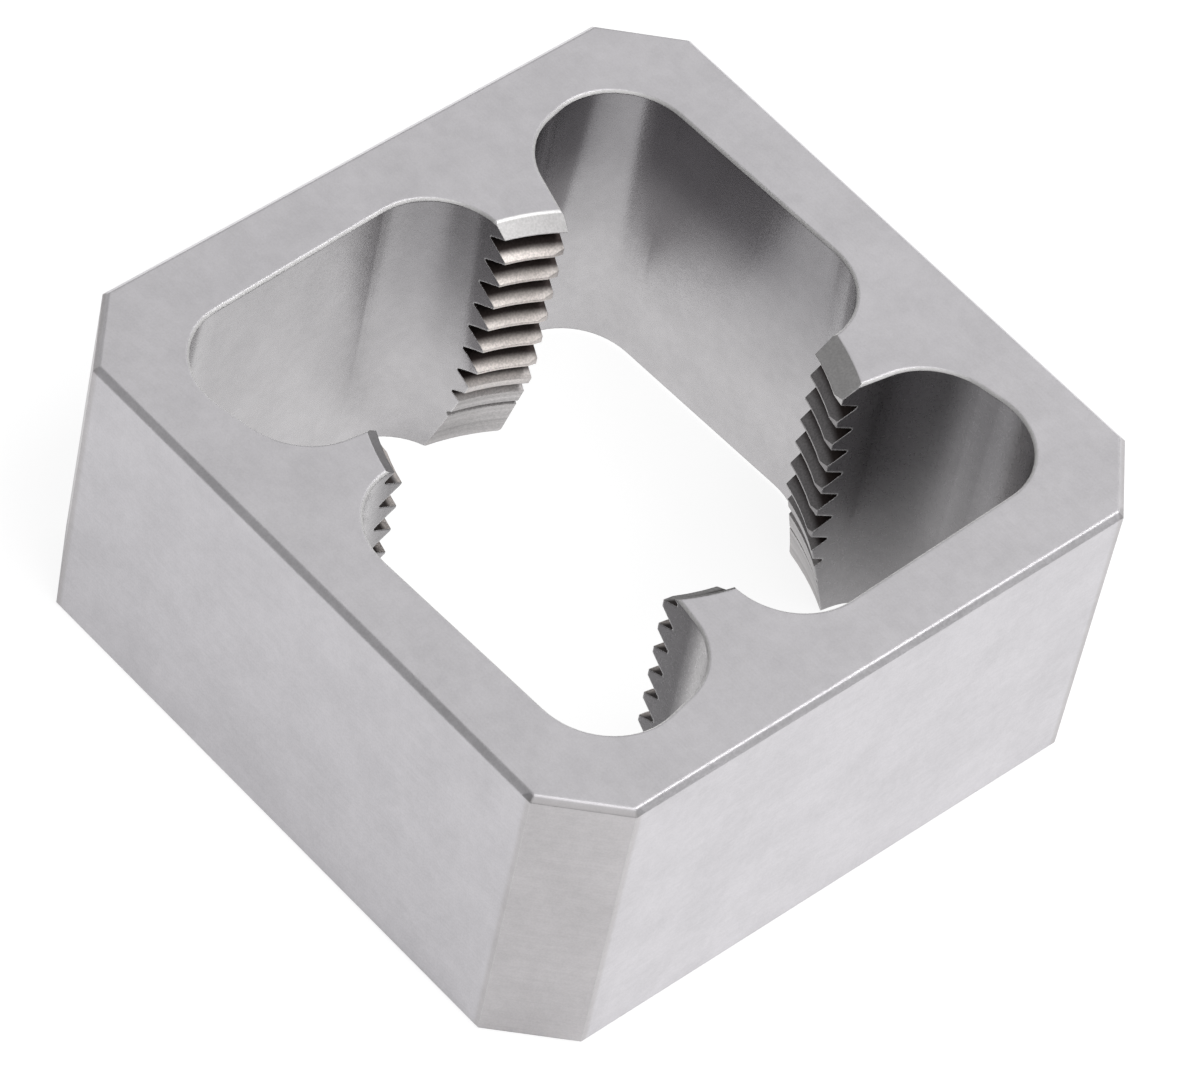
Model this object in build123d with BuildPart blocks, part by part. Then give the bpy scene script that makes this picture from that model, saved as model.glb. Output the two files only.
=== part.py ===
from build123d import *
from math import acos, atan, atan2, ceil, cos, degrees, radians, sin, sqrt, tan
import os

# A one-piece pipe threading die: a square block with four chip pockets right through it
# and four threaded lands between them. It stands on the face where the pipe enters, and
# the small end of the pipe thread comes out level with the top face. The origin is on the
# bottom face, on the axis of the thread, and +Z points out of the top face.

# Block
side = 50.8
height = 23.5
corner_cut = 4.6
edge_break = 0.4
rim_break = 0.15

# Tapered pipe thread, right-handed
threads_per_inch = 11.5
taper_on_diameter = 1 / 16
pitch_diameter_at_top = 30.826
thread_depth = 1.59
thread_angle = 60
first_root_height = 1.65

# Flat honed on each crest beside the rake face, sloping away from the pipe
honed_width = 0.85
honed_angle = 25
honed_run_out = 2.5

# Throat where the pipe enters, and countersink where it leaves
throat_diameter = 35.6
throat_angle = 16
countersink_diameter = 32.4
countersink_angle = 33

# Chip pockets. A pocket is a five-cornered outline with its three outer corners rounded by
# the cutter. These sizes are for the pocket at the +X +Y corner of the block. The other
# three are quarter turns of it. Its walls are as thick as this at the heel of one land and
# at its far corner, beside the +X side and beside the +Y side. The rake face at its end was
# ground by hand, so each has its own offset from the middle of the block and its own lean.
cutter_radius = 5.15
shortest_end_flat = 0.2
heel_offset = 3.76
wall_beside_heel = 4.72
wall_beside_corner = 5.5
wall_at_end = 3.4
end_slope = 11.3
cutting_offsets = [8.05, 7.15, 7.5, 7.95]
rake_leans = [17, 8, 8, 10]

# How far inside the crests the outlines of the pockets and of the grooves reach
bore_clearance = 2.2

inch = 25.4
pitch = inch / threads_per_inch
half_taper = degrees(atan(taper_on_diameter / 2))
mean_radius = pitch_diameter_at_top / 2
crest_radius = mean_radius - thread_depth / 2
root_radius = mean_radius + thread_depth / 2
rim_radius = countersink_diameter / 2
throat_radius = throat_diameter / 2
inner_radius = crest_radius - bore_clearance

# Lands and pockets repeat at these turns, each with the rake face of its own land
turns = [0, 90, 180, 270]
rakes = list(zip(cutting_offsets, rake_leans))

# The arc over which a land's thread grooves are swept, with room to spare at both ends
heel_angle = degrees(acos(heel_offset / root_radius))
cutting_angle = degrees(acos(max(cutting_offsets) / root_radius))
sweep_margin = 15
sweep_start = cutting_angle - sweep_margin
sweep_span = heel_angle - cutting_angle + 2 * sweep_margin


def slope(angle):
    """Rise over run of a line at this angle, in degrees."""
    return tan(radians(angle))


def polar(radius, angle):
    """The point at this radius and angle, in degrees."""
    return Vector(radius * cos(radians(angle)), radius * sin(radians(angle)))


def widened(radius, z):
    """A radius of the tapered thread at height z, from its value at the top face."""
    return radius + (height - z) * slope(half_taper)


def rake_at_rim(cutting_offset, rake_lean):
    """Where the rake face of the +Y land meets the countersink's rim, and which way it runs."""
    cutting_corner = Vector(cutting_offset, sqrt(rim_radius**2 - cutting_offset**2))
    return cutting_corner, polar(1, 90 - rake_lean)


def pocket_outline(cutting_offset, rake_lean):
    """Sharp corners of the +X +Y pocket, from the heel of one land to the rake of the next."""
    cutting_corner, rake_line = rake_at_rim(cutting_offset, rake_lean)
    far_corner = Vector(side / 2 - wall_beside_corner, side / 2 - wall_at_end)
    end_line = polar(1, end_slope)
    rake_length = (far_corner - cutting_corner).cross(end_line).Z / rake_line.cross(end_line).Z
    return [
        Vector(sqrt(inner_radius**2 - heel_offset**2), -heel_offset),
        Vector(side / 2 - wall_beside_heel, -heel_offset),
        far_corner,
        cutting_corner + rake_line * rake_length,
        cutting_corner - rake_line * (rim_radius - inner_radius),
    ]


def corner_radius(outline):
    """The cutter's radius, or less where the pocket's end wall has no room for two of them."""
    side_wall, end_wall, rake_face = [b - a for a, b in zip(outline[1:], outline[2:])]
    turned = [side_wall.get_angle(end_wall), end_wall.get_angle(rake_face)]
    room = (end_wall.length - shortest_end_flat) / sum(slope(angle / 2) for angle in turned)
    return min(cutter_radius, room)


def core_outline():
    """Half section of the bore: throat, thread crests and countersink."""
    taper_slope = slope(half_taper)
    throat_top = throat_radius - widened(crest_radius, 0)
    throat_top /= slope(throat_angle) - taper_slope
    sink_bottom = height - (rim_radius - crest_radius) / (1 / slope(countersink_angle) + taper_slope)
    return [
        (0, 0),
        (throat_radius, 0),
        (widened(crest_radius, throat_top), throat_top),
        (widened(crest_radius, sink_bottom), sink_bottom),
        (rim_radius, height),
        (0, height),
    ]


def groove_outline(lowest_root):
    """Section of the thread grooves of one land: flat roots, joined by sharp points that
    lie inside the crests, so that the bore leaves the crests flat."""
    half_root = pitch / 4 - thread_depth / 2 * slope(thread_angle / 2)
    sharp_radius = root_radius - (pitch / 2 - half_root) / slope(thread_angle / 2)
    roots = [lowest_root + turn * pitch for turn in range(ceil(height / pitch) + 2)]
    points = [(widened(sharp_radius, roots[0] - pitch / 2), roots[0] - pitch / 2)]
    for root in roots:
        points.append((widened(root_radius, root), root - half_root))
        points.append((widened(root_radius, root), root + half_root))
        points.append((widened(sharp_radius, root + pitch / 2), root + pitch / 2))
    points.append((inner_radius, points[-1][1]))
    points.append((inner_radius, points[0][1]))
    return points


def thread_grooves(start_angle):
    """The thread grooves of one land. They follow the helix from this angle on, over that
    land only, and are swept from the +X axis, to be turned into place."""
    lowest_root = (first_root_height + pitch * start_angle / 360) % pitch - pitch
    with BuildPart() as grooves:
        with BuildLine():
            Helix(pitch, pitch * sweep_span / 360, mean_radius)
        with BuildSketch(Plane.XZ):
            with BuildLine():
                Polyline(*groove_outline(lowest_root), close=True)
            make_face()
        sweep(is_frenet=True)
    return grooves.part


def honed_flat_angle(cutting_offset, rake_lean):
    """Where the honed flats of the +Y land start, as an angle round the bore."""
    cutting_corner, rake_line = rake_at_rim(cutting_offset, rake_lean)
    along_rake = cutting_corner.dot(rake_line)
    off_axis = cutting_corner.cross(rake_line).Z
    crest_corner = cutting_corner + rake_line * (sqrt(crest_radius**2 - off_axis**2) - along_rake)
    return degrees(atan2(crest_corner.Y, crest_corner.X) + honed_width / crest_radius)


def honed_outline(flat_angle):
    """Triangle between the honed flats and the axis, running out into the pocket."""
    start = polar(crest_radius, flat_angle)
    return [
        start,
        start + polar(honed_run_out, flat_angle - 90 + honed_angle),
        polar(inner_radius, flat_angle),
    ]


groove_angles = [sweep_start + turn for turn in turns]
grooves_of_lands = [thread_grooves(angle) for angle in groove_angles]

with BuildPart() as die:
    with BuildSketch():
        Rectangle(side, side)
        chamfer(vertices(), corner_cut)
    extrude(amount=height)
    chamfer(edges().group_by(Axis.Z)[0] + edges().group_by(Axis.Z)[-1], edge_break)

    # Chip pockets, with the edges of their rims broken
    block_edges = edges()
    for turn, rake in zip(turns, rakes):
        outline = pocket_outline(*rake)
        with BuildSketch(Plane.XY.rotated((0, 0, turn))):
            with BuildLine():
                Polyline(*outline, close=True)
            make_face()
            fillet(vertices().sort_by_distance((0, 0, 0))[-3:], corner_radius(outline))
        extrude(amount=height, mode=Mode.SUBTRACT)
    chamfer((edges() - block_edges).filter_by(Plane.XY), rim_break)

    # Bore, and the thread in its lands
    with BuildSketch(Plane.XZ):
        with BuildLine():
            Polyline(*core_outline(), close=True)
        make_face()
    revolve(axis=Axis.Z, mode=Mode.SUBTRACT)
    for grooves, angle in zip(grooves_of_lands, groove_angles):
        add(grooves, rotation=(0, 0, angle), mode=Mode.SUBTRACT)

    # Honed flats at the cutting ends of the crests
    for turn, rake in zip(turns, rakes):
        flat_angle = honed_flat_angle(*rake)
        with BuildSketch(Plane.XY.offset(height).rotated((0, 0, turn))):
            with BuildLine():
                Polyline(*honed_outline(flat_angle), close=True)
            make_face()
        along_crests = polar(slope(half_taper), flat_angle + turn) - (0, 0, 1)
        extrude(amount=height, dir=along_crests, mode=Mode.SUBTRACT)

die.part.label = "die"
os.makedirs("parts", exist_ok=True)
export_step(die.part, "parts/die.step")
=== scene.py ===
import math

import bpy
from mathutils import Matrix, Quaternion, Vector

MM = 0.001
WHITE = (1, 1, 1, 1)

# The camera, as the photograph was taken: its lens in mm, lengths in m, angles in degrees
FOCAL_LENGTH = 249.3
SENSOR_WIDTH = 36.0
CLIP_START = 0.01
CLIP_END = 50.0
CAMERA_TARGET = Vector((-0.47, -1.24, 11.75)) * MM
CAMERA_DISTANCE = 524.56 * MM
CAMERA_HEADING = 38.318
CAMERA_DROP = 48.977
CAMERA_ROLL = 13.112

# Softboxes: azimuth and elevation in degrees, distance and size in m, power in watts, and
# whether the metal mirrors them
LAMPS = {
    "softbox_key": (-90, 55, 1.2, (1.0, 1.0), 9.0, False),
    "softbox_front": (228, 40, 1.2, (0.5, 0.4), 0.5, True),
    "strip_front": (231, 68, 1.0, (0.3, 0.16), 0.5, True),
    "strip_above": (-30, 58, 1.0, (0.25, 0.5), 1.5, True),
}

# The walls, as the metal mirrors them. A side is an azimuth and an elevation in degrees. A
# range is where a change starts and ends: for a side in the cosine of the angle from it,
# and for the heights in the sine of the elevation.
ROOM_COLOUR = (0.97, 0.98, 1.0, 1)
ROOM_STRENGTH = 0.3
DARK_SIDE = (130, 30)
DARK_RANGE = (0.1, 0.9)
DARK_WALL = 0.36
WALL_HEIGHTS = (0.1, 0.8)
LOW_WALL = 0.3
BACKDROP_SIDE = (15, -5)
BACKDROP_RANGE = (0.75, 0.9)

# The floor's size in m, and how much of its glow the metal mirrors at each place. From here
# on, a group of two is where a change starts and ends, in mm unless its comment says
# otherwise, and a group of four also says from what value it goes to what value.
FLOOR_SIZE = 6.0
PAPER = (0.86, 0.86, 0.86, 1)
GLOW_STRENGTH = 1.2
GLOW_IN_VIEW = 0.73
GLOW_TO_THE_RIGHT = (3, 15, 0.29, 0.54)
GLOW_FROM_CORNER = (1, 6, 0.6, 1)
GLOW_FROM_BLOCK = (23, 27)
GLOW_BEHIND = 0.62
GLOW_BEHIND_X = (-30, -24)
GLOW_BEHIND_Y = (24, 30)
GLOW_INSIDE_X = (-20, -9, 0.3, 1)
GLOW_INSIDE_Y = (-25, 8, 0.02, 1)
GLOW_INSIDE_LEAN = -0.35
LAND_SHADE_AT = (5, 17, 0)
LAND_SHADE = (1, 6, 0.55, 1)

# The die's height, and the radii of its bore with their slopes: the throat's from the
# bottom face up, and the others from the top face down
DIE_HEIGHT = 23.5
CREST_RADIUS = 14.618
CREST_TAPER = 1 / 32
THREAD_DEPTH = 1.6
THROAT_RADIUS = 17.8
THROAT_SLOPE = -0.287
COUNTERSINK_RADIUS = 16.2
COUNTERSINK_SLOPE = -1.54

# What tells the zones of the die apart. The first five are cosines: how far a surface faces
# up or down, and how far it faces the axis of the bore. The corners are where X and Y, taken
# without their signs, add up to this.
FLAT_UPRIGHT = (0.97, 0.99)
BROKEN_EDGE_UPRIGHT = (0.3, 0.5)
FLANK_UPRIGHT = (0.2, 0.4)
FLANK_INWARD = (0.3, 0.4)
CREST_INWARD = (0.75, 0.9)
BEYOND_BORE = (0.2, 0.1)
SIDES = (24.6, 24.9)
CORNERS = (44.8, 45.1)
# Depths behind the crests where the painted shade of the grooves starts and is full
ROOT_SHADE_DEPTHS = (0.25, 0.85)
LOW_TEETH = (10.5, 4.5)

# Edges: the radii they are rounded to, and the cosine of the turn that gets a painted highlight
EDGE_RADIUS = 0.22 * MM
TOOTH_EDGE_RADIUS = 0.08 * MM
EDGE_SAMPLES = 4
EDGE_HIGHLIGHT_TURN = (0.92, 0.72)

# Patterns: how densely their lines run along X, Y and Z, and the scale per mm and the detail
# of each. The speckle has this share of the finish outside the pockets and inside them.
LEVEL_LINES = (0.12, 0.12, 5)
LINES_ALONG_Y = (5, 0.12, 1)
LOW_TEETH_LINES = (0.06, 0.06, 1.5)
GRAIN = (1.0, 3)
ARCS = (1.0, 2)
SPECKLE = (7, 2)
CLOUD = (0.25, 5)
MOTTLE = (1.3, 3)
CONTRAST = (0.3, 0.7)
SPECKLE_SHARE = (0.65, 0.9)

# How far the patterns change the tone and the roughness, and the height of the relief
FINISH_IN_TONE = 0.13
CLOUD_IN_TONE = 0.07
MOTTLE_IN_TONE = 0.05
ARCS_IN_TONE = 1.2
SPECKLE_IN_BORE = (21.6, 21.8, 0.25, 0.08)
ROUGHNESS = 0.34
FINISH_IN_ROUGHNESS = 0.12
POCKET_ROUGHNESS = -0.10
FRONT_POCKET_ROUGHNESS = (-2, -7, 0, 0.08)
RIM_ROUGHNESS = 0.25
RELIEF_STRENGTH = 0.3
RELIEF_HEIGHT = 0.006 * MM
ANISOTROPY = 0.7

# The broken edge round the top face is darker along the -Y side and at the front corner
TOP_EDGE_START = (22.9, 23.1)
TOP_EDGE_END = (23.46, 23.38)
RIGHT_EDGE_SHADE = (-24.7, -24.95, 0, 0.2)
CORNER_EDGE_SHADE = (-45.3, -45.5, 0, 0.34)

# Tones of the steel, among them painted shade and painted light
GROUND = (0.69, 0.674, 0.697, 1)
CORNER = (0.60, 0.580, 0.588, 1)
MILLED = (0.435, 0.424, 0.432, 1)
# Painted shade for the pockets' upper walls
HIGH_WALL_SHADE = (0.27, 0.262, 0.272, 1)
# Painted shade in patches of the pockets and on the left land's countersink
PAINTED_SHADE = (0.175, 0.168, 0.178, 1)
# Painted light in two corners of the pockets
PAINTED_LIGHT = (0.62, 0.605, 0.61, 1)
FLANK = (0.66, 0.61, 0.58, 1)
# Painted shade on the flanks of the right land
FLANK_SHADE = (0.26, 0.249, 0.253, 1)
SUNK = (0.55, 0.54, 0.54, 1)
DULL = (0.41, 0.395, 0.395, 1)
# Painted highlight on the rounded edges and the pockets' rims
EDGE_HIGHLIGHT = (0.80, 0.79, 0.79, 1)
# Painted shade in the roots of the thread's grooves
ROOT_SHADE = (0.045, 0.036, 0.034, 1)
# Painted highlight on the edge of the top land's countersink
LIP_HIGHLIGHT = (0.98, 0.97, 0.97, 1)

# Painted shade on the pockets' upper walls grows with height, and is weaker on the -X side
HIGH_WALL_SHADE_HEIGHTS = (5, 21)
HIGH_WALL_SHADE_SIDE = (-4, 4, 0.2, 1)

# Marks on the steel: the corner faces' and the countersink's own tones, and patches of
# painted shade and painted light. Each has a tone, a strength and its edges: the value
# that crosses the edge, where the mark starts, and where it is full.
GROUND_MARKS = {
    "corner faces": (CORNER, 1, ("slanting", 45.6, 46.0), ("upright", 0.99, 0.97)),
}
POCKET_SHADE_AND_LIGHT = {
    "upper walls of the +X +Y pocket": (
        PAINTED_SHADE, 1, ("z", 14.5, 19.5), ("y", 3, 8), ("x", 4, 10), ("slanting", 38, 37)),
    "upper walls beside the right land": (
        PAINTED_SHADE, 0.6, ("y", -12, -9.5), ("y", -2, -5), ("z", 8, 16),
        ("x", 4, 10), ("x", 19.5, 17.5)),
    "far corner of the +X -Y pocket": (
        PAINTED_LIGHT, 1, ("y", -15.2, -17), ("x", 18.5, 20.2)),
    "rake face of the front land": (
        PAINTED_SHADE, 0.65, ("x", -9.5, -8.3), ("x", -5.5, -6.5), ("y", -10, -12),
        ("y", -16.9, -15.7)),
    "corner behind that rake face": (
        PAINTED_LIGHT, 0.7, ("x", -11, -9.5), ("x", -5.5, -6.5), ("y", -16.4, -17.6)),
}
BORE_MARKS = {
    "flanks of the right land": (FLANK_SHADE, 1, ("x", 6, 11)),
    "countersink": (SUNK, 1, ("z", 21.6, 22)),
    "countersink of the left land": (PAINTED_SHADE, 0.7, ("z", 21.6, 22), ("x", -8, -10)),
}
# A painted highlight
LIP_HIGHLIGHT_MARKS = {
    "edge of the top land's countersink": (
        LIP_HIGHLIGHT, 1, ("from_countersink", 0.16, 0.06), ("z", 23.2, 23.4), ("y", 8, 12)),
}


def direction(azimuth, elevation):
    """The unit vector at this azimuth and elevation, in degrees."""
    flat = math.cos(math.radians(elevation))
    return Vector((flat * math.cos(math.radians(azimuth)),
                   flat * math.sin(math.radians(azimuth)),
                   math.sin(math.radians(elevation))))


def link(obj):
    bpy.context.scene.collection.objects.link(obj)
    return obj


def make_camera():
    data = bpy.data.cameras.new("camera")
    data.lens = FOCAL_LENGTH
    data.sensor_width = SENSOR_WIDTH
    data.sensor_fit = "HORIZONTAL"
    data.clip_start = CLIP_START
    data.clip_end = CLIP_END
    camera = link(bpy.data.objects.new("camera", data))
    looking = direction(CAMERA_HEADING, -CAMERA_DROP)
    camera.location = CAMERA_TARGET - looking * CAMERA_DISTANCE
    camera.rotation_mode = "QUATERNION"
    roll = Quaternion((0, 0, 1), math.radians(CAMERA_ROLL))
    camera.rotation_quaternion = looking.to_track_quat("-Z", "Y") @ roll
    bpy.context.scene.camera = camera


class Nodes:
    """A material's or a world's node tree, with one short call for each node."""

    def __init__(self, owner):
        owner.use_nodes = True
        self.tree = owner.node_tree
        self.tree.nodes.clear()

    def add(self, kind, inputs=None, **settings):
        node = self.tree.nodes.new(kind)
        for name, value in settings.items():
            setattr(node, name, value)
        for key, value in (inputs or {}).items():
            self.put(node.inputs[key], value)
        return node

    def put(self, socket, value):
        if isinstance(value, bpy.types.NodeSocket):
            self.tree.links.new(value, socket)
        else:
            socket.default_value = value

    def math(self, operation, *values):
        node = self.add("ShaderNodeMath", dict(enumerate(values)), operation=operation)
        return node.outputs[0]

    def absolute(self, value):
        return self.math("ABSOLUTE", value)

    def inverse(self, share):
        """1 where the share is 0 and 0 where it is 1."""
        return self.math("SUBTRACT", 1, share)

    def chained(self, operation, first, *others):
        """The operation on the first two values, then on its result and the third, and so on."""
        for other in others:
            first = self.math(operation, first, other)
        return first

    def product(self, *values):
        return self.chained("MULTIPLY", *values)

    def largest(self, *values):
        return self.chained("MAXIMUM", *values)

    def vector(self, operation, *vectors):
        """A vector operation that gives one number."""
        node = self.add("ShaderNodeVectorMath", dict(enumerate(vectors)), operation=operation)
        return node.outputs["Value"]

    def scaled(self, vector, factors):
        node = self.add("ShaderNodeVectorMath", {0: vector, 1: factors}, operation="MULTIPLY")
        return node.outputs["Vector"]

    def in_mm(self, position):
        return self.scaled(position, (1 / MM,) * 3)

    def split(self, vector):
        return self.add("ShaderNodeSeparateXYZ", {0: vector}).outputs

    def combined(self, *values):
        return self.add("ShaderNodeCombineXYZ", dict(enumerate(values))).outputs[0]

    def ramp(self, value, low, high, start=0.0, end=1.0):
        """A smooth step from start to end while the value goes from low to high."""
        return self.add("ShaderNodeMapRange", {
            "Value": value, "From Min": low, "From Max": high, "To Min": start, "To Max": end,
        }, interpolation_type="SMOOTHSTEP").outputs[0]

    def mixed(self, share, first, second, kind="FLOAT"):
        """First where the share is 0 and second where it is 1."""
        node = self.add("ShaderNodeMix", data_type=kind)
        sockets = [socket for socket in node.inputs if socket.enabled]
        for socket, value in zip(sockets, (share, first, second)):
            self.put(socket, value)
        return next(socket for socket in node.outputs if socket.enabled)

    def mixed_shaders(self, share, first, second):
        return self.add("ShaderNodeMixShader", {0: share, 1: first.outputs[0],
                                                2: second.outputs[0]})

    def noise(self, vector, scale, detail):
        return self.add("ShaderNodeTexNoise", {"Vector": vector, "Scale": scale,
                                               "Detail": detail}).outputs[0]

    def pattern(self, vector, scale, detail):
        """Noise, stretched so that it reaches from 0 to 1."""
        return self.ramp(self.noise(vector, scale, detail), *CONTRAST)

    def varied(self, value, pattern, strength, *zones):
        """The value, raised and lowered by a pattern, only in these zones if there are any."""
        change = self.product(*zones, self.math("SUBTRACT", pattern, 0.5))
        return self.math("MULTIPLY_ADD", change, strength, value)


def mirrored(nodes, path):
    """1 for what the metal mirrors, and 0 otherwise."""
    return nodes.largest(path["Is Glossy Ray"], path["Is Transmission Ray"])


def make_world():
    """A studio of soft white walls, darker low down and at the back left, with a white
    backdrop at the back right. The camera sees it all white, the metal sees the walls, and
    everything else only a little light from them."""
    world = bpy.data.worlds.new("studio")
    nodes = Nodes(world)
    looking = nodes.add("ShaderNodeTexCoord").outputs["Generated"]
    to_dark_side = nodes.vector("DOT_PRODUCT", looking, direction(*DARK_SIDE))
    to_backdrop = nodes.vector("DOT_PRODUCT", looking, direction(*BACKDROP_SIDE))
    height = nodes.split(looking)[2]
    walls = nodes.math("MINIMUM", nodes.ramp(to_dark_side, *DARK_RANGE, 1, DARK_WALL),
                       nodes.ramp(height, *WALL_HEIGHTS, LOW_WALL, 1))
    walls = nodes.largest(walls, nodes.ramp(to_backdrop, *BACKDROP_RANGE))
    path = nodes.add("ShaderNodeLightPath").outputs
    white = nodes.largest(path["Is Camera Ray"], nodes.product(walls, mirrored(nodes, path)))
    room = nodes.add("ShaderNodeBackground", {"Color": ROOM_COLOUR, "Strength": ROOM_STRENGTH})
    backdrop = nodes.add("ShaderNodeBackground", {"Color": WHITE, "Strength": 1.0})
    black = nodes.add("ShaderNodeBackground", {"Strength": 0.0})
    dark_room = nodes.mixed_shaders(path["Is Diffuse Ray"], black, room)
    studio = nodes.mixed_shaders(white, dark_room, backdrop)
    nodes.add("ShaderNodeOutputWorld", {"Surface": studio.outputs[0]})
    bpy.context.scene.world = world


def glow_by_place(nodes):
    """How much of the floor's glow the metal mirrors at each place. In front of the die it
    is less to the left of the front corner than to the right of it, and least straight in
    front of that corner. Inside the die it grows towards the back, and is less at the left
    and under the top land."""
    position = nodes.add("ShaderNodeNewGeometry").outputs["Position"]
    x, y, _ = nodes.split(nodes.in_mm(position))
    across = nodes.largest(nodes.absolute(x), nodes.absolute(y))
    to_the_right = nodes.math("SUBTRACT", x, y)
    outside = nodes.product(nodes.ramp(to_the_right, *GLOW_TO_THE_RIGHT),
                            nodes.ramp(nodes.absolute(to_the_right), *GLOW_FROM_CORNER),
                            nodes.ramp(across, *GLOW_FROM_BLOCK))
    behind = nodes.product(nodes.ramp(y, *GLOW_BEHIND_Y), nodes.ramp(x, *GLOW_BEHIND_X))
    outside = nodes.mixed(behind, outside, GLOW_BEHIND)
    from_left = nodes.math("MULTIPLY_ADD", nodes.largest(y, 0), GLOW_INSIDE_LEAN, x)
    from_land = nodes.vector("DISTANCE", nodes.combined(x, y), LAND_SHADE_AT)
    inside = nodes.product(nodes.ramp(y, *GLOW_INSIDE_Y), nodes.ramp(from_left, *GLOW_INSIDE_X),
                           nodes.ramp(from_land, *LAND_SHADE))
    return nodes.largest(outside, inside)


def floor_paper():
    """White paper that looks paler than it is lit, both straight and in the metal."""
    material = bpy.data.materials.new("floor_paper")
    nodes = Nodes(material)
    paper = nodes.add("ShaderNodeBsdfDiffuse", {"Color": PAPER})
    glow = nodes.add("ShaderNodeEmission", {"Color": WHITE, "Strength": GLOW_STRENGTH})
    path = nodes.add("ShaderNodeLightPath").outputs
    in_metal = nodes.product(glow_by_place(nodes), mirrored(nodes, path))
    share = nodes.math("MULTIPLY_ADD", path["Is Camera Ray"], GLOW_IN_VIEW, in_metal)
    surface = nodes.mixed_shaders(share, paper, glow)
    nodes.add("ShaderNodeOutputMaterial", {"Surface": surface.outputs[0]})
    return material


def make_floor():
    mesh = bpy.data.meshes.new("floor")
    half = FLOOR_SIZE / 2
    corners = [(-half, -half, 0), (half, -half, 0), (half, half, 0), (-half, half, 0)]
    mesh.from_pydata(corners, [], [(0, 1, 2, 3)])
    floor = link(bpy.data.objects.new("floor", mesh))
    mesh.materials.append(floor_paper())


def make_lamp(name, azimuth, elevation, distance, size, power, in_reflections):
    """A rectangular softbox that faces the part."""
    data = bpy.data.lights.new(name, "AREA")
    data.shape = "RECTANGLE"
    data.size, data.size_y = size
    data.energy = power
    lamp = link(bpy.data.objects.new(name, data))
    towards = direction(azimuth, elevation)
    lamp.location = CAMERA_TARGET + towards * distance
    lamp.rotation_euler = (-towards).to_track_quat("-Z", "Y").to_euler()
    lamp.visible_glossy = in_reflections


def find_zones(nodes):
    """Where a point lies on the die, in mm, and which way it faces. The zones are 1 in the
    flat faces, in the bore, on the pockets' rims, in the pockets, in the roots of the thread's
    grooves, which get painted shade, on its dull low teeth, and 0 elsewhere."""
    coordinates = nodes.add("ShaderNodeTexCoord").outputs
    facing = coordinates["Normal"]
    place = nodes.in_mm(coordinates["Object"])
    x, y, z = nodes.split(place)
    across = nodes.largest(nodes.absolute(x), nodes.absolute(y))
    slanting = nodes.math("ADD", nodes.absolute(x), nodes.absolute(y))
    radial = nodes.combined(x, y)
    radius = nodes.vector("LENGTH", radial)
    upright = nodes.absolute(nodes.split(facing)[2])
    inward = nodes.math("DIVIDE", nodes.vector("DOT_PRODUCT", radial, facing),
                        nodes.math("MULTIPLY", radius, -1))

    # The radii of the bore at the point's height, and how deep the point lies behind them
    below_top = nodes.math("SUBTRACT", DIE_HEIGHT, z)
    crests = nodes.math("MULTIPLY_ADD", below_top, CREST_TAPER, CREST_RADIUS)
    throat = nodes.math("MULTIPLY_ADD", z, THROAT_SLOPE, THROAT_RADIUS)
    countersink = nodes.math("MULTIPLY_ADD", below_top, COUNTERSINK_SLOPE, COUNTERSINK_RADIUS)
    depth = nodes.math("SUBTRACT", radius, nodes.largest(crests, throat, countersink))
    reach = nodes.largest(nodes.math("ADD", crests, THREAD_DEPTH), throat)
    beyond = nodes.math("SUBTRACT", radius, reach)

    flat = nodes.ramp(upright, *FLAT_UPRIGHT)
    flanks = nodes.product(nodes.ramp(upright, *FLANK_UPRIGHT),
                           nodes.ramp(inward, *FLANK_INWARD))
    turned = nodes.largest(nodes.ramp(inward, *CREST_INWARD), flanks)
    bore = nodes.product(turned, nodes.ramp(beyond, *BEYOND_BORE))
    outer = nodes.largest(nodes.ramp(across, *SIDES), nodes.ramp(slanting, *CORNERS))
    inner = nodes.product(nodes.inverse(outer), nodes.inverse(flat))
    broken = nodes.ramp(upright, *BROKEN_EDGE_UPRIGHT)
    rim = nodes.product(inner, broken, nodes.inverse(bore))
    pocket = nodes.product(inner, nodes.inverse(nodes.largest(bore, rim)))
    return {
        "place": place, "x": x, "y": y, "z": z, "slanting": slanting,
        "upright": upright, "broken": broken,
        "from_countersink": nodes.absolute(nodes.math("SUBTRACT", radius, COUNTERSINK_RADIUS)),
        "flat": flat, "bore": bore, "rim": rim, "pocket": pocket,
        "root_shade": nodes.product(bore, nodes.ramp(depth, *ROOT_SHADE_DEPTHS)),
        "dull": nodes.product(bore, nodes.ramp(z, *LOW_TEETH)),
    }


def make_patterns(nodes, at):
    """Grinding lines, along Y in the flat faces and level round the sides and the bore, and
    the grain of the milled walls. The finish is the two together."""
    lines = nodes.mixed(at["flat"], nodes.scaled(at["place"], LEVEL_LINES),
                        nodes.scaled(at["place"], LINES_ALONG_Y), "VECTOR")
    grain = nodes.pattern(lines, *GRAIN)
    speckle = nodes.pattern(at["place"], *SPECKLE)
    speckle_share = nodes.ramp(at["pocket"], 0, 1, *SPECKLE_SHARE)
    return {
        "finish": nodes.mixed(speckle_share, grain, speckle),
        "speckle": speckle,
        "cloud": nodes.pattern(at["place"], *CLOUD),
        "mottle": nodes.pattern(at["place"], *MOTTLE),
        "arcs": nodes.noise(nodes.scaled(at["place"], LOW_TEETH_LINES), *ARCS),
    }


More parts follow.
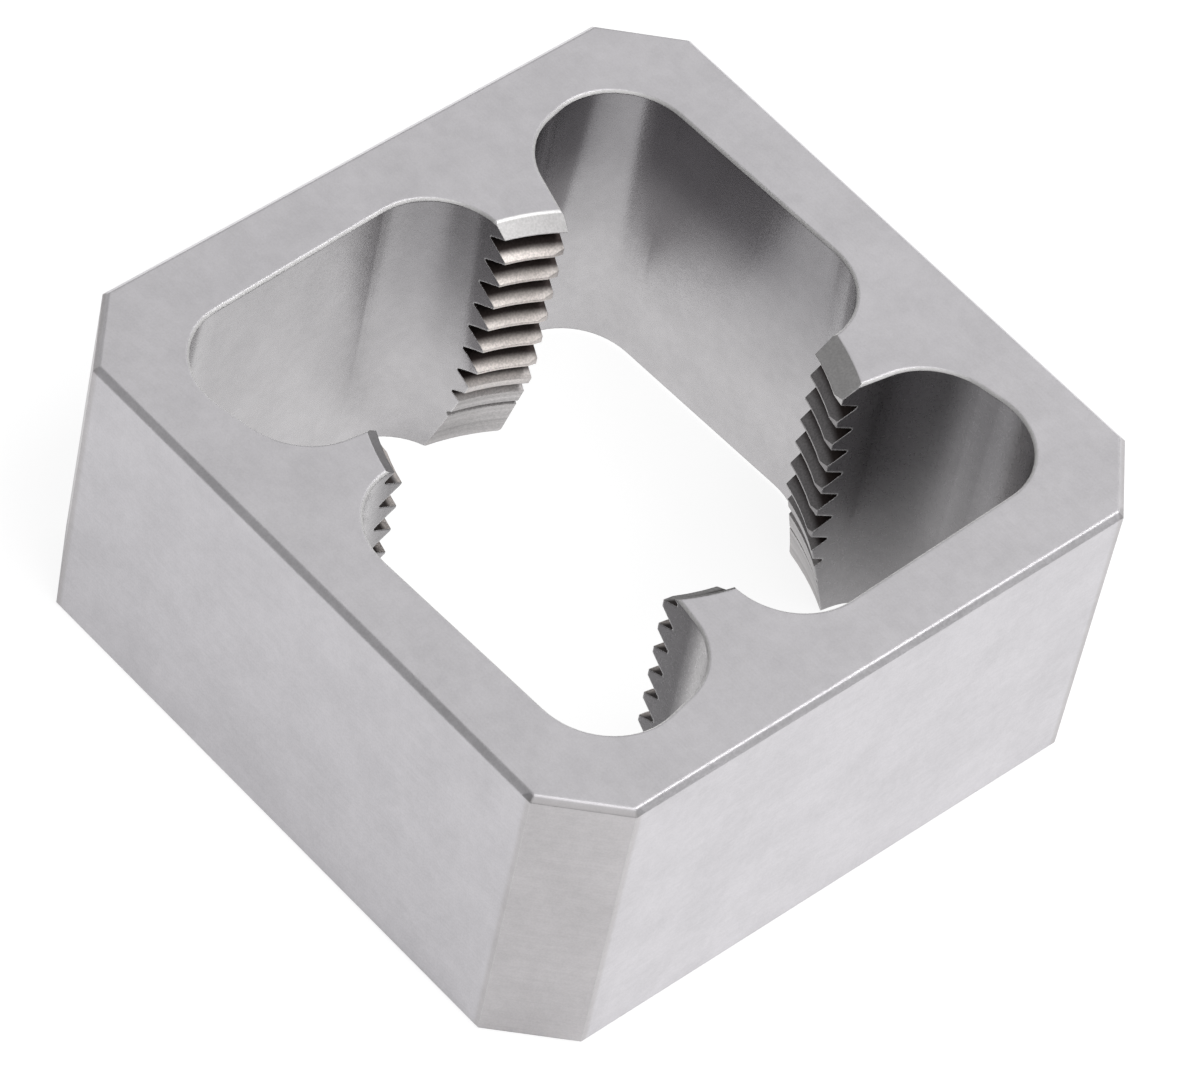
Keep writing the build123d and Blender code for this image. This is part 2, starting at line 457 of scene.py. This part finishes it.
def steel_tone(nodes, at, patterns):
    """How much darker or paler than its own colour the steel is at each point."""
    tone = nodes.varied(1.0, patterns["finish"], FINISH_IN_TONE)
    tone = nodes.varied(tone, patterns["cloud"], CLOUD_IN_TONE)
    tone = nodes.varied(tone, patterns["mottle"], MOTTLE_IN_TONE)
    tone = nodes.varied(tone, patterns["arcs"], ARCS_IN_TONE, at["dull"])
    in_bore = nodes.ramp(at["z"], *SPECKLE_IN_BORE)
    tone = nodes.varied(tone, patterns["speckle"], in_bore, at["bore"])
    top_edge = nodes.product(nodes.inverse(at["flat"]), at["broken"],
                             nodes.ramp(at["z"], *TOP_EDGE_START),
                             nodes.ramp(at["z"], *TOP_EDGE_END))
    to_the_front = nodes.math("ADD", at["x"], at["y"])
    shade = nodes.largest(nodes.ramp(at["y"], *RIGHT_EDGE_SHADE),
                          nodes.ramp(to_the_front, *CORNER_EDGE_SHADE))
    return nodes.product(tone, nodes.inverse(nodes.product(top_edge, shade)))


def marked(nodes, at, colour, marks):
    """The colour with these marks painted over it."""
    for tone, strength, *edges in marks.values():
        ramps = [nodes.ramp(at[value], *edge) for value, *edge in edges]
        colour = nodes.mixed(nodes.product(strength, *ramps), colour, tone, "RGBA")
    return colour


def steel_colour(nodes, at, edge_highlight, tone):
    """Pale ground faces, darker pockets with painted shade on their upper walls, and a bore
    with painted shade in the roots of its grooves. Rounded edges and the pockets' rims get a
    painted highlight."""
    # Painted shade on the pockets' upper walls, growing with height
    scale = nodes.product(nodes.ramp(at["z"], *HIGH_WALL_SHADE_HEIGHTS), nodes.ramp(at["x"], *HIGH_WALL_SHADE_SIDE))
    ground = marked(nodes, at, GROUND, GROUND_MARKS)
    # The pockets' tone, with patches of painted shade and painted light
    milled = marked(nodes, at, nodes.mixed(scale, MILLED, HIGH_WALL_SHADE, "RGBA"), POCKET_SHADE_AND_LIGHT)
    # The bore's tone, with painted shade on the right land's flanks and the left land's
    # countersink
    cut = marked(nodes, at, FLANK, BORE_MARKS)
    steel = nodes.mixed(at["pocket"], ground, milled, "RGBA")
    steel = nodes.mixed(at["bore"], steel, cut, "RGBA")
    steel = nodes.mixed(at["dull"], steel, DULL, "RGBA")
    # Painted highlight on the rounded edges and the pockets' rims
    steel = nodes.mixed(nodes.largest(edge_highlight, at["rim"]), steel, EDGE_HIGHLIGHT, "RGBA")
    # Painted shade in the roots of the grooves
    steel = nodes.mixed(at["root_shade"], steel, ROOT_SHADE, "RGBA")
    # Painted highlight on the edge of the top land's countersink
    steel = marked(nodes, at, steel, LIP_HIGHLIGHT_MARKS)
    return nodes.scaled(steel, nodes.combined(tone, tone, tone))


def steel_roughness(nodes, at, finish):
    """Smoother in the pockets, least so in the front ones, and rough on their rims."""
    roughness = nodes.varied(ROUGHNESS, finish, FINISH_IN_ROUGHNESS)
    changes = [(at["pocket"], POCKET_ROUGHNESS), (at["rim"], RIM_ROUGHNESS),
               (at["pocket"], nodes.ramp(at["y"], *FRONT_POCKET_ROUGHNESS))]
    for zone, change in changes:
        roughness = nodes.math("MULTIPLY_ADD", zone, change, roughness)
    return roughness


def ground_steel():
    """Hardened steel: ground flat outside, milled in the pockets, cut in the thread. Its
    edges are rounded, and get a painted highlight where they turn."""
    material = bpy.data.materials.new("ground_steel")
    nodes = Nodes(material)
    at = find_zones(nodes)
    patterns = make_patterns(nodes, at)
    edge_radius = nodes.mixed(at["bore"], EDGE_RADIUS, TOOTH_EDGE_RADIUS)
    rounded = nodes.add("ShaderNodeBevel", {"Radius": edge_radius},
                        samples=EDGE_SAMPLES).outputs[0]
    true_normal = nodes.add("ShaderNodeNewGeometry").outputs["True Normal"]
    # Where the rounded edges turn, which get a painted highlight
    edge_highlight = nodes.ramp(nodes.vector("DOT_PRODUCT", rounded, true_normal), *EDGE_HIGHLIGHT_TURN)
    relief = nodes.add("ShaderNodeBump", {
        "Strength": RELIEF_STRENGTH, "Distance": RELIEF_HEIGHT, "Height": patterns["finish"],
        "Normal": rounded})
    metal = nodes.add("ShaderNodeBsdfPrincipled", {
        "Base Color": steel_colour(nodes, at, edge_highlight, steel_tone(nodes, at, patterns)),
        "Metallic": 1.0,
        "Roughness": steel_roughness(nodes, at, patterns["finish"]),
        "Anisotropic": ANISOTROPY,
        "Tangent": nodes.combined(at["flat"], 0, nodes.inverse(at["flat"])),
        "Normal": relief.outputs[0]})
    nodes.add("ShaderNodeOutputMaterial", {"Surface": metal.outputs[0]})
    return material


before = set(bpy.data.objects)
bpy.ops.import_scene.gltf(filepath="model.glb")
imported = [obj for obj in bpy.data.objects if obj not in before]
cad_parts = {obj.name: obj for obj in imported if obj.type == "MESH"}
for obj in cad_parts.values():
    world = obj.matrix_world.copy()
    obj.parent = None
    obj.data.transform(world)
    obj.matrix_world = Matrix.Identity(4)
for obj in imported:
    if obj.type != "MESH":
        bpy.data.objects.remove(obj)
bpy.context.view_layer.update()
bpy.context.scene.view_settings.view_transform = "Standard"
make_camera()
make_world()
make_floor()
for name, settings in LAMPS.items():
    make_lamp(name, *settings)
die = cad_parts["die"]
die.material_slots[0].material = ground_steel()
